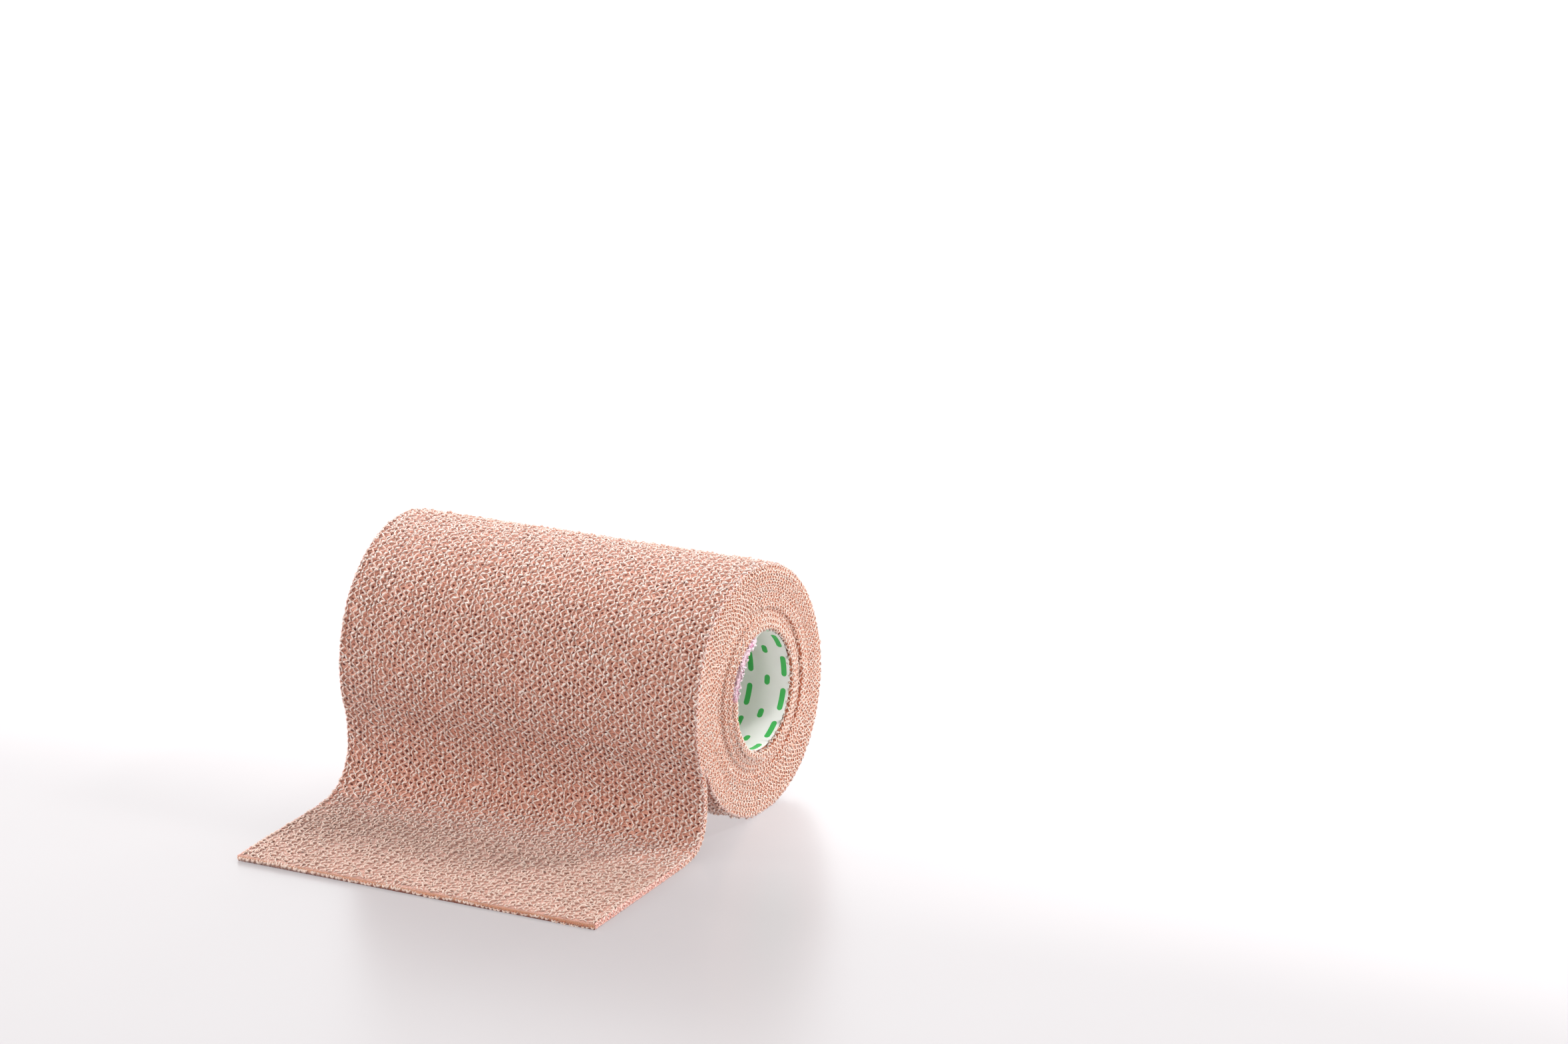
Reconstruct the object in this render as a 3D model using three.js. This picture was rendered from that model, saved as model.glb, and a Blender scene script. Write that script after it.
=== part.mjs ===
// Cohesive bandage roll: an elastic crepe strip wound on a thin sleeve, lying on its side,
// with its outer turn running down the front into a loose end that lies flat.
//
// Millimetres. +X runs along the roll's axis, -Y towards the loose end, +Z up.
// The origin is the bottom centre of the whole object's box.
// Angles are in the end view, about the axis: 0 the back, 90 the top, 180 the front.

import * as THREE from 'three';
import { mergeVertices } from 'three/addons/utils/BufferGeometryUtils.js';

// Driving sizes
const WIDTH = 100;
const CLOTH = 1.5;
const AXIS_HEIGHT = 31;
const OUTER_RADIUS = 30.9;
const LEAVES_AT = 199;
const BORE = { radius: 15, y: 0.35, z: -0.45 };
const LINER = { thickness: 1, gap: 0.3, left: -47.7, right: 49.2 };

// Outer radius of the winding, from where the cloth leaves it, over the top and round
// to the underside of the same place. Lying down has made it sag a little at the back.
const WINDING = [
  { angle: LEAVES_AT, radius: OUTER_RADIUS },
  { angle: 170, radius: 30.9 },
  { angle: 130, radius: 31.0 },
  { angle: 90, radius: 31.1 },
  { angle: 55, radius: 30.7 },
  { angle: 15, radius: 30.4 },
  { angle: -15, radius: 30.9 },
  { angle: -50, radius: 31.6 },
  { angle: -90, radius: 31.3 },
  { angle: -120, radius: 30.7 },
  { angle: LEAVES_AT - 360, radius: OUTER_RADIUS - CLOTH },
];

// Upper surface of the loose end after it leaves the winding, at its left and right selvages
const LOOSE_END = [
  { leftY: -28.8, leftZ: 15.0, rightY: -28.4, rightZ: 14.6 },
  { leftY: -30.0, leftZ: 8.8, rightY: -29.0, rightZ: 8.6 },
  { leftY: -34.4, leftZ: 3.6, rightY: -32.0, rightZ: 3.4 },
  { leftY: -42.0, leftZ: 1.7, rightY: -38.6, rightZ: 1.7 },
  { leftY: -54.0, leftZ: 1.5, rightY: -54.0, rightZ: 1.5 },
  { leftY: -66.0, leftZ: 1.7, rightY: -67.0, rightZ: 1.5 },
  { leftY: -78.6, leftZ: 1.6, rightY: -80.4, rightZ: 1.5 },
];

// Relief of the wound face at the right, at the back and at the front of the roll.
// The strip keeps its width, so a turn that stands out here is drawn in at the left.
const FACE_RELIEF = [
  { radius: BORE.radius, back: 0.4, front: 2.0 },
  { radius: 16.3, back: 0.4, front: 1.8 },
  { radius: 17.1, back: 0.0, front: -0.3 },
  { radius: 19.0, back: -0.7, front: -0.9 },
  { radius: 20.6, back: -1.0, front: -1.2 },
  { radius: 21.2, back: 0.6, front: -0.3 },
  { radius: 22.4, back: 0.5, front: -0.2 },
  { radius: 23.4, back: -0.2, front: -0.1 },
  { radius: 28.6, back: 0.0, front: 0.0 },
];

// How far the outer turn's selvages draw in from the faces, or stand out where less than zero
const DRAWN_IN = [
  { angle: LEAVES_AT, left: 0.0, right: 0.0 },
  { angle: 165, left: 0.3, right: -0.3 },
  { angle: 120, left: 0.1, right: 0.3 },
  { angle: 60, left: -0.2, right: 0.5 },
  { angle: -30, left: 0.2, right: 0.1 },
  { angle: LEAVES_AT - 360, left: 0.0, right: 0.0 },
];

// Fineness of the mesh
const ROUND_STEPS = 60;
const LOOSE_STEPS = 24;
const WIDTH_STEPS = 8;

const { degToRad, lerp, smoothstep } = THREE.MathUtils;

// One column of a table whose rows run down in angle, eased between the rows
function roundTheTurn(table, column, angle) {
  const last = table.length - 1;
  const next = THREE.MathUtils.clamp(table.findIndex((row) => row.angle <= angle), 1, last);
  const from = table[next - 1];
  const to = table[next];
  const share = smoothstep((from.angle - angle) / (from.angle - to.angle), 0, 1);
  return lerp(from[column], to[column], share);
}

function inEndView(angle, radius) {
  const turn = degToRad(angle);
  return new THREE.Vector2(radius * Math.cos(turn), AXIS_HEIGHT + radius * Math.sin(turn));
}

function boreInEndView(angle, radius) {
  return inEndView(angle, radius).add(new THREE.Vector2(BORE.y, BORE.z));
}

// The roll is pressed flat where it would reach below the surface it lies on
function windingInEndView(angle) {
  const wound = roundTheTurn(WINDING, 'radius', angle);
  const down = -Math.sin(degToRad(angle));
  const pressed = down > 0 ? AXIS_HEIGHT / down : wound;
  return inEndView(angle, Math.min(wound, pressed));
}

function angleOfStep(step) {
  return LEAVES_AT - (360 * step) / ROUND_STEPS;
}

// The loose end's upper and under surface in the end view, at a share of the way across
function looseEnd(share) {
  const rows = LOOSE_END.map(
    (row) => new THREE.Vector2(lerp(row.leftY, row.rightY, share), lerp(row.leftZ, row.rightZ, share)),
  );
  const leadIn = windingInEndView(angleOfStep(1));
  const route = new THREE.SplineCurve([leadIn, windingInEndView(LEAVES_AT), ...rows]);
  const start = 1 / (rows.length + 1);
  const upper = [];
  const under = [];
  for (let step = 1; step <= LOOSE_STEPS; step += 1) {
    const along = lerp(start, 1, step / LOOSE_STEPS);
    const point = route.getPoint(along);
    const heading = route.getTangent(along);
    const through = new THREE.Vector2(-heading.y, heading.x).multiplyScalar(CLOTH);
    const below = point.clone().add(through);
    upper.push(point);
    under.push(new THREE.Vector2(below.x, Math.max(below.y, 0)));
  }
  return { upper, under };
}

// Closed outline of the cloth at a share of the way across, from the tip of the loose end
// up to the winding, round it once, and back along the underside to the tip
function clothOutline(share) {
  const place = (point, angle) => {
    const left = -WIDTH / 2 + roundTheTurn(DRAWN_IN, 'left', angle);
    const right = WIDTH / 2 - roundTheTurn(DRAWN_IN, 'right', angle);
    return new THREE.Vector3(lerp(left, right, share), point.x, point.y);
  };
  const { upper, under } = looseEnd(share);
  const turn = [];
  for (let step = 0; step <= ROUND_STEPS; step += 1) {
    const angle = angleOfStep(step);
    turn.push(place(windingInEndView(angle), angle));
  }
  return {
    upper: upper.map((point) => place(point, LEAVES_AT)),
    turn,
    under: under.map((point) => place(point, LEAVES_AT)),
  };
}

// The rings of the wound face, from the bore out, at the left (-1) or the right (+1)
function faceRings(side) {
  return FACE_RELIEF.map((row) => {
    const ring = [];
    for (let step = 0; step < ROUND_STEPS; step += 1) {
      const angle = angleOfStep(step);
      const outwards = (row.radius - BORE.radius) / (OUTER_RADIUS - BORE.radius);
      const point = boreInEndView(angle, BORE.radius).lerp(windingInEndView(angle), outwards);
      const frontShare = (1 - Math.cos(degToRad(angle))) / 2;
      const stand = lerp(row.back, row.front, frontShare);
      ring.push(new THREE.Vector3((side * WIDTH) / 2 + stand, point.x, point.y));
    }
    return ring;
  });
}

// Collects triangles, and turns them into one closed body
class Body {
  corners = [];

  triangle(a, b, c) {
    this.corners.push(a, b, c);
  }

  quad(a, b, c, d) {
    this.triangle(a, b, c);
    this.triangle(a, c, d);
  }

  // A band of quads between two rows of points, closed on itself where they are rings
  band(first, second, closed) {
    const spans = closed ? first.length : first.length - 1;
    for (let span = 0; span < spans; span += 1) {
      const next = (span + 1) % first.length;
      this.quad(first[span], first[next], second[next], second[span]);
    }
  }

  geometry() {
    const soup = new THREE.BufferGeometry().setFromPoints(this.corners);
    const closed = mergeVertices(soup);
    closed.computeVertexNormals();
    return closed;
  }
}

// One end face: the rings, the outer turn beyond them and the edge of the loose end.
// Its triangles are listed for the right end, and turned over for the left.
function endFace(rings, outline) {
  const face = new Body();
  for (let ring = 1; ring < rings.length; ring += 1) {
    face.band(rings[ring - 1], rings[ring], true);
  }
  const rim = rings[rings.length - 1];
  const { upper, turn, under } = outline;
  const notch = turn[ROUND_STEPS];
  face.triangle(rim[0], rim[1], notch);
  face.triangle(notch, rim[1], turn[1]);
  face.triangle(notch, turn[1], turn[0]);
  face.band([...rim.slice(1), rim[0]], [...turn.slice(1)], false);
  face.band([turn[0], ...upper], [notch, ...under], false);
  return face.corners;
}

function clothGeometry() {
  const outlines = [];
  for (let step = 0; step <= WIDTH_STEPS; step += 1) {
    outlines.push(clothOutline(step / WIDTH_STEPS));
  }
  const leftRings = faceRings(-1);
  const rightRings = faceRings(1);
  const body = new Body();
  const loops = outlines.map(({ upper, turn, under }) => [...[...upper].reverse(), ...turn, ...under]);
  for (let step = 1; step < loops.length; step += 1) {
    body.band(loops[step], loops[step - 1], true);
  }
  body.band(leftRings[0], rightRings[0], true);
  const leftFace = endFace(leftRings, outlines[0]);
  const rightFace = endFace(rightRings, outlines[WIDTH_STEPS]);
  for (let corner = 0; corner < leftFace.length; corner += 3) {
    body.triangle(leftFace[corner], leftFace[corner + 2], leftFace[corner + 1]);
    body.triangle(rightFace[corner], rightFace[corner + 1], rightFace[corner + 2]);
  }
  return body.geometry();
}

// The sleeve is a thin tube just inside the bore, its ends a little inside the cloth's
function linerGeometry() {
  const outer = BORE.radius - LINER.gap;
  const inner = outer - LINER.thickness;
  const circle = (Kind, radius) => {
    const ring = new Kind();
    ring.absarc(BORE.y, AXIS_HEIGHT + BORE.z, radius, 0, 2 * Math.PI, false);
    return ring;
  };
  const section = circle(THREE.Shape, outer);
  section.holes.push(circle(THREE.Path, inner));
  const tube = new THREE.ExtrudeGeometry(section, {
    depth: LINER.right - LINER.left,
    bevelEnabled: false,
    curveSegments: ROUND_STEPS,
  });
  tube.translate(0, 0, LINER.left);
  // The section was drawn with the end view's Y and Z as X and Y
  tube.applyMatrix4(
    new THREE.Matrix4().makeBasis(
      new THREE.Vector3(0, 1, 0),
      new THREE.Vector3(0, 0, 1),
      new THREE.Vector3(1, 0, 0),
    ),
  );
  return tube;
}

const clothMaterial = new THREE.MeshStandardMaterial({ color: 0xd9a896, roughness: 0.95, metalness: 0 });
const linerMaterial = new THREE.MeshStandardMaterial({ color: 0xe6e6e0, roughness: 0.5, metalness: 0 });

const bandage = new THREE.Mesh(clothGeometry(), clothMaterial);
bandage.name = 'bandage';

const coreLiner = new THREE.Mesh(linerGeometry(), linerMaterial);
coreLiner.name = 'core_liner';

const roll = new THREE.Group();
roll.add(bandage, coreLiner);

// The roll's axis stood over Y = 0 until here: the origin moves to the middle of the box
const box = new THREE.Box3().setFromObject(roll);
const middle = box.getCenter(new THREE.Vector3());
roll.position.set(-middle.x, -middle.y, -box.min.z);

export default roll;
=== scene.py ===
"""A cohesive bandage roll lying on its side, its outer turn running down into a loose end.

The strip is one spiral sheet from the tip of the loose end to its inner end. The crepe's cream
yarns, the looped edges of its turns and the selvages are tubes laid on that sheet.

Lengths are in millimetres about the roll's own frame (X along its axis, which stands over Y = 0,
Z up) until they are placed in the row frame. Angles are in the end view: 0 the back, 90 the top,
180 the front. Turns are counted inwards from where the loose end leaves the roll. A name that
ends in VARIES is the spread of a random draw.
"""

import math

import bpy
import numpy as np
from mathutils import Matrix, Vector


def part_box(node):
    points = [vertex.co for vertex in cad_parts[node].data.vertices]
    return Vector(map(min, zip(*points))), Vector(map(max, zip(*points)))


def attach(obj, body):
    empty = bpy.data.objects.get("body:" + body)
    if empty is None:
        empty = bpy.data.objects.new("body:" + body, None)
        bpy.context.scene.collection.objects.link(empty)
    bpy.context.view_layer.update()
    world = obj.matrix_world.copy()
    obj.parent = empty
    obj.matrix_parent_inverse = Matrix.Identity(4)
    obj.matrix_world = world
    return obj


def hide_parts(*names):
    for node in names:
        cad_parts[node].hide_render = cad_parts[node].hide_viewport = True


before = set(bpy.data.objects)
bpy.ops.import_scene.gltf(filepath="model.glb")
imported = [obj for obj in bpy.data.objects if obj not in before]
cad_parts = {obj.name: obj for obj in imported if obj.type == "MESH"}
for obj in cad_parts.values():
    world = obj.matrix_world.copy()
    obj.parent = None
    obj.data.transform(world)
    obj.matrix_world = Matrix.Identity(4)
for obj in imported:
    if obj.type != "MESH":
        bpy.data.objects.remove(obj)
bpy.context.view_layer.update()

MM = 0.001
RANDOM = np.random.default_rng(7)

# Driving sizes of the roll, as in the solids
WIDTH = 100.0
CLOTH = 1.5
AXIS_HEIGHT = 31.0
OUTER_RADIUS = 30.9
LEAVES_AT = 199.0
BORE_RADIUS = 15.0
BORE_Y = 0.35
BORE_Z = -0.45
LINER_LEFT = -47.7
LINER_RIGHT = 49.2
LOOSE_REACH = 80.4
FACE_STANDS_OUT = 2.0

# The wound strip. It lies a little deeper where yarns cover it, and never below the ground.
PITCH = 1.25
INNER_END_AT = 100.0
TURNS = 12 + (LEAVES_AT - INNER_END_AT) / 360
INNER_END_RADIUS = 15.4
HALF_THICKNESS = 0.63
EDGE_BULGE = 0.22
FLAT_HALF = WIDTH / 2 - EDGE_BULGE
OUTER_TURN_ENDS = 0.999
ABOVE_GROUND = 0.02
STEPS_PER_TURN = 72
LOOSE_STEPS = 48

# How deep the sheet lies under the yarns of the outer turn: turns, depth
UNDER_YARNS = ((1.0, 0.3), (1.1, 0.0))

# Outer radius of the winding: angle, radius
WINDING = (
    (LEAVES_AT, OUTER_RADIUS),
    (170, 30.9),
    (130, 31.0),
    (90, 31.1),
    (55, 30.7),
    (15, 30.4),
    (-15, 30.9),
    (-50, 31.6),
    (-90, 31.3),
    (-120, 30.7),
    (LEAVES_AT - 360, OUTER_RADIUS - CLOTH),
)

# Upper surface of the loose end: left Y, left Z, right Y, right Z
LOOSE_END = (
    (-28.8, 15.0, -28.4, 14.6),
    (-30.0, 8.8, -29.0, 8.6),
    (-34.4, 3.6, -32.0, 3.4),
    (-42.0, 1.7, -38.6, 1.7),
    (-54.0, 1.5, -54.0, 1.5),
    (-66.0, 1.7, -67.0, 1.5),
    (-78.6, 1.6, -LOOSE_REACH, 1.5),
)

# How far the turns stand out at the right: level, at the back, at the front of the roll
FACE_RELIEF = (
    (BORE_RADIUS, 0.4, 2.3),
    (16.3, 0.4, 2.1),
    (17.0, 0.2, 1.1),
    (18.2, -0.1, 0.5),
    (19.4, -0.4, -0.4),
    (20.6, -0.5, -0.6),
    (21.2, 0.4, -0.2),
    (22.4, 0.2, -0.1),
    (23.4, -0.2, -0.1),
    (28.6, 0.0, 0.0),
)

# How far the outer turn's selvages draw in: angle, left, right
DRAWN_IN = (
    (LEAVES_AT, 0.0, 0.0),
    (165, 0.3, -0.3),
    (120, 0.1, 0.3),
    (60, -0.2, 0.5),
    (-30, 0.2, 0.1),
    (LEAVES_AT - 360, 0.0, 0.0),
)

# From here the strip's inner end is painted lilac: painted purple bounce light
LILAC_FROM = 12.08

# How far the strip's inner end stands out beyond its turn: turns, distance
INNER_END_STANDS_OUT = ((11.9, 0.0), (12.06, -0.3), (TURNS, -0.4))

# How far the inner end lifts off the turn under it, into the bore: turns, distance
INNER_END_LIFTS = ((11.95, 0.0), (12.12, 0.2), (TURNS, 0.2))

# The crepe: rows of zigzag yarn side by side across the width, with neighbours in opposite phase
ROW_PITCH = 1.2
ROWS_EACH_SIDE = 41
ZIGZAG_PERIOD = 1.83
ZIGZAG_REACH = 0.45
STEPS_PER_STROKE = 4
WANDER_VARIES = 0.26
PLACE_VARIES = 0.02

# How high the yarns stand: at the peaks, where two cross there, and along each kind of stroke
PEAK_HEIGHT = 0.06
CROSSING = 0.16
RISING_ARCH = 0.26
FALLING_ARCH = 0.12
RISING_HOOK = -0.05
FALLING_HOOK = -0.45

# How full the yarns are, as shares of their radius. Every other row is fuller, and higher by it.
YARN_RADIUS = 0.25
PEAK_FULLNESS = 0.72
RISING_FULLNESS = 0.45
FALLING_FULLNESS = 0.1
ALTERNATES = 0.28
FALLING_ALTERNATES = -0.4
ALTERNATES_IN_HEIGHT = 0.3
STROKE_VARIES = 0.22
FULLNESS_VARIES = 0.05

# The crepe is relaxed where it lies flat: distance from the tip, fullness and sinking of its yarns
RELAXED = ((0.0, 1.15, 0.06), (28.0, 1.15, 0.06), (46.0, 1.0, 0.0))

# Where the crepe's yarns begin, as a distance from the tip, and end, in turns
YARNS_FROM = 0.1
YARNS_TO = 1.02
YARN_PIECES = 4

# Rows of crepe that show on the inner turns: their turns and their places across the strip
BEFORE_INNER_END = TURNS - 0.004
INNERMOST_FROM = 10.95
INNER_SIDE_FROM = 11.0
PROUD_TURN = (6.9, 7.9)
LILAC_ROWS = (ROWS_EACH_SIDE + 0.4, ROWS_EACH_SIDE + 1.4)
PAST_SELVAGE = 0.45
UNDERSIDE_ROW = (FLAT_HALF + HALF_THICKNESS * math.pi + PAST_SELVAGE) / ROW_PITCH

# Guards for divisions
LEAST_SINE = 1e-6
LEAST_LENGTH = 1e-9


def smooth(share):
    """Eased from 0 to 1."""
    return share * share * (3 - 2 * share)


def eased(rows, column, at):
    """One column of a table at values of its first column, eased between the rows."""
    keys = np.array([row[0] for row in rows], float)
    values = np.array([row[column] for row in rows], float)
    order = np.argsort(keys)
    keys, values = keys[order], values[order]
    at = np.clip(at, keys[0], keys[-1])
    above = np.clip(np.searchsorted(keys, at), 1, len(keys) - 1)
    share = smooth((at - keys[above - 1]) / (keys[above] - keys[above - 1]))
    return values[above - 1] + (values[above] - values[above - 1]) * share


def unit(vectors):
    return vectors / np.linalg.norm(vectors, axis=-1, keepdims=True)


def wound_depth(turns):
    """How deep the strip's outer surface lies below the roll's, in the winding's own pitch."""
    return CLOTH * np.minimum(turns, 1) + PITCH * np.maximum(turns - 1, 0)


def wound_share(turns):
    """0 at the roll's outer surface and 1 at the strip's inner end."""
    return wound_depth(turns) / wound_depth(TURNS)


def wound_angle(turns):
    return LEAVES_AT - 360 * (turns % 1.0)


def wound_radius(turns):
    """Radius of the strip's outer surface about the roll's axis."""
    angle = wound_angle(turns)
    turned = np.radians(angle)
    down = np.maximum(-np.sin(turned), LEAST_SINE)
    resting = np.minimum(eased(WINDING, 1, angle), AXIS_HEIGHT / down)
    closed = resting + CLOTH * (turns % 1.0)
    towards = BORE_Y * np.cos(turned) + BORE_Z * np.sin(turned)
    bore = INNER_END_RADIUS + towards
    lift = eased(INNER_END_LIFTS, 1, turns)
    return closed + (bore - closed) * wound_share(turns) - lift


def spline(points, samples):
    """Points of a uniform Catmull-Rom curve, from its second point to its last."""
    spans = len(points) - 1
    found = []
    for at in np.linspace(1 / spans, 1, samples):
        place = at * spans
        index = min(int(place), spans - 1)
        part = place - index
        before = points[max(index - 1, 0)]
        start, end = points[index], points[index + 1]
        after = points[min(index + 2, spans)]
        slope_in, slope_out = (end - before) / 2, (after - start) / 2
        found.append(
            (2 * start - 2 * end + slope_in + slope_out) * part**3
            + (-3 * start + 3 * end - 2 * slope_in - slope_out) * part**2
            + slope_in * part
            + start
        )
    return np.array(found)


def end_view(turns):
    radius = wound_radius(turns)
    turned = np.radians(wound_angle(turns))
    return np.stack([radius * np.cos(turned), AXIS_HEIGHT + radius * np.sin(turned)], -1)


class Strip:
    """The strip's route, as its outer surface in the end view, and places on and round it."""

    # How finely the route is sampled, and how unevenly its inner turns stand out
    SAMPLES_PER_TURN = 360
    LOOSE_SAMPLES = 400
    LEAD_IN_TURNS = 6 / 360
    PAST_INNER_END = 0.05
    UNEVEN_PITCH = 0.28
    UNEVEN_FROM = 1.2
    UNEVEN_VARIES = 0.09
    OUTWARD_STEP = 0.05

    def __init__(self):
        turns = np.arange(0, TURNS + self.PAST_INNER_END, 1 / self.SAMPLES_PER_TURN)
        wound = end_view(turns)
        lead_in = end_view(np.array([self.LEAD_IN_TURNS]))[0]
        edges = []
        for column in (0, 2):
            rows = [np.array(row[column : column + 2], float) for row in LOOSE_END]
            loose = spline([lead_in, wound[0], *rows], self.LOOSE_SAMPLES)
            edges.append(np.concatenate([loose[::-1], wound[1:]]))
        self.left, self.right = edges
        middle = (self.left + self.right) / 2
        steps = np.linalg.norm(np.diff(middle, axis=0), axis=1)
        self.along = np.concatenate([[0], np.cumsum(steps)])
        heading = unit(np.gradient(middle, axis=0))
        self.outwards = np.stack([-heading[:, 1], heading[:, 0]], -1)
        self.turns = np.concatenate([np.zeros(self.LOOSE_SAMPLES - 1), turns])
        self.loose_length = self.along[self.LOOSE_SAMPLES - 1]
        knots = np.arange(0, TURNS + 1, self.UNEVEN_PITCH)
        self.uneven_knots = knots
        uneven = RANDOM.normal(0, self.UNEVEN_VARIES, len(knots))
        self.uneven = uneven * (knots > self.UNEVEN_FROM)

    def along_at(self, turns):
        """Length from the tip to a place on the winding."""
        wound = self.LOOSE_SAMPLES - 1
        return np.interp(turns, self.turns[wound:], self.along[wound:])

    def length(self):
        return float(self.along_at(TURNS))

    def turns_at(self, along):
        return np.interp(along, self.along, self.turns)

    def shift(self, turns):
        """How far the strip stands out to the right of the middle of the roll."""
        share = (wound_depth(turns) + HALF_THICKNESS) / (wound_depth(TURNS) + 2 * HALF_THICKNESS)
        level = OUTER_RADIUS + (BORE_RADIUS - OUTER_RADIUS) * share
        front = (1 - np.cos(np.radians(wound_angle(turns)))) / 2
        back_relief, front_relief = eased(FACE_RELIEF, 1, level), eased(FACE_RELIEF, 2, level)
        uneven = np.interp(turns, self.uneven_knots, self.uneven)
        inner_end = eased(INNER_END_STANDS_OUT, 1, turns)
        return back_relief + (front_relief - back_relief) * front + uneven + inner_end

    def place(self, along, around, height):
        """Points round the strip's section: around is the distance from the middle of its outer
        side, over the rounded selvages and on along the inner side, and height stands on it."""
        along, around, height = np.broadcast_arrays(along, around, height)
        turns = self.turns_at(along)
        reach = np.abs(around)
        turned = np.clip((reach - FLAT_HALF) / HALF_THICKNESS, 0, math.pi)
        under = np.maximum(reach - FLAT_HALF - math.pi * HALF_THICKNESS, 0)
        bulge = (EDGE_BULGE + height) * np.sin(turned)
        across = np.sign(around) * (np.minimum(reach, FLAT_HALF) - under + bulge)
        depth = eased(UNDER_YARNS, 1, turns) + HALF_THICKNESS
        depth = depth - (HALF_THICKNESS + height) * np.cos(turned)
        share = across / WIDTH + 0.5
        angle = wound_angle(np.minimum(turns, OUTER_TURN_ENDS))
        draw = (1 - share) * eased(DRAWN_IN, 1, angle) - share * eased(DRAWN_IN, 2, angle)
        x = across + draw * (turns < 1) + self.shift(turns)
        found = [x]
        for axis in (0, 1):
            left = np.interp(along, self.along, self.left[:, axis])
            right = np.interp(along, self.along, self.right[:, axis])
            out = np.interp(along, self.along, self.outwards[:, axis])
            found.append(left + (right - left) * share - out * depth)
        found[2] = np.maximum(found[2], ABOVE_GROUND)
        return np.stack(found, -1)

    def tubes(self, along, around, height, radius):
        """Tubes along rows of places on the strip, none of them below the ground."""
        centres = self.place(along, around, height)
        above = self.place(along, around, height + self.OUTWARD_STEP)
        outwards = above - centres + LEAST_LENGTH
        centres[..., 2] = np.maximum(centres[..., 2], radius)
        return tubes_through(centres, outwards, radius)


# The corners of a tube's section, by their angle: two at the sides and one at the bottom
TUBE_CORNERS = (math.pi / 6, math.pi * 5 / 6, math.pi * 3 / 2)


def tubes_through(centres, outwards, radius):
    """Closed three-sided tubes through rows of points, a flat side outwards: points and faces."""
    heading = unit(np.gradient(centres, axis=1))
    sideways = unit(np.cross(heading, unit(outwards)))
    raised = np.cross(sideways, heading)
    thick = np.broadcast_to(radius, centres.shape[:2])[..., None]
    corners = []
    for turned in TUBE_CORNERS:
        offset = sideways * math.cos(turned) + raised * math.sin(turned)
        corners.append(centres + offset * thick)
    points = np.stack(corners, axis=2)
    return points.reshape(-1, 3), tube_faces(*centres.shape[:2])


def tube_faces(rows, steps):
    corner = np.arange(rows * steps * 3).reshape(rows, steps, 3)
    following = np.roll(corner, -1, axis=2)
    walls = np.stack(
        [corner[:, :-1], corner[:, 1:], following[:, 1:], following[:, :-1]], axis=-1
    ).reshape(-1, 4)
    return walls, np.concatenate([corner[:, 0], corner[:, -1, ::-1]])


def to_row_frame(points):
    """From the roll's frame in millimetres to the row frame in metres."""
    low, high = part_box("bandage")
    x = high.x - (WIDTH / 2 + FACE_STANDS_OUT) * MM
    y = low.y + LOOSE_REACH * MM
    return points * MM + np.array([x, y, 0.0])


def mesh_piece(name, points, faces, material):
    """A smooth mesh from arrays: faces is one array of corners for each number of sides."""
    mesh = bpy.data.meshes.new(name)
    mesh.vertices.add(len(points))
    mesh.vertices.foreach_set("co", to_row_frame(points).astype(np.float32).ravel())
    corners = np.concatenate([group.ravel() for group in faces]).astype(np.int32)
    sides = np.concatenate([np.full(len(group), group.shape[1]) for group in faces])
    starts = np.concatenate([[0], np.cumsum(sides)[:-1]]).astype(np.int32)
    mesh.loops.add(len(corners))
    mesh.loops.foreach_set("vertex_index", corners)
    mesh.polygons.add(len(sides))
    mesh.polygons.foreach_set("loop_start", starts)
    mesh.update(calc_edges=True)
    mesh.shade_smooth()
    mesh.materials.append(material)
    piece = bpy.data.objects.new(name, mesh)
    bpy.context.scene.collection.objects.link(piece)
    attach(piece, "root")
    return piece


def set_uv(piece, uv_points):
    """A UV layer from one value for each vertex."""
    mesh = piece.data
    corners = np.zeros(len(mesh.loops), np.int32)
    mesh.loops.foreach_get("vertex_index", corners)
    layer = mesh.uv_layers.new(name="strip")
    layer.uv.foreach_set("vector", uv_points[corners].astype(np.float32).ravel())


def srgb(red, green, blue):
    """A colour given as it looks, from 0 to 255, for a shader."""
    found = []
    for value in (red, green, blue):
        share = value / 255
        found.append(share / 12.92 if share <= 0.04045 else ((share + 0.055) / 1.055) ** 2.4)
    return (*found, 1.0)


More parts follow.
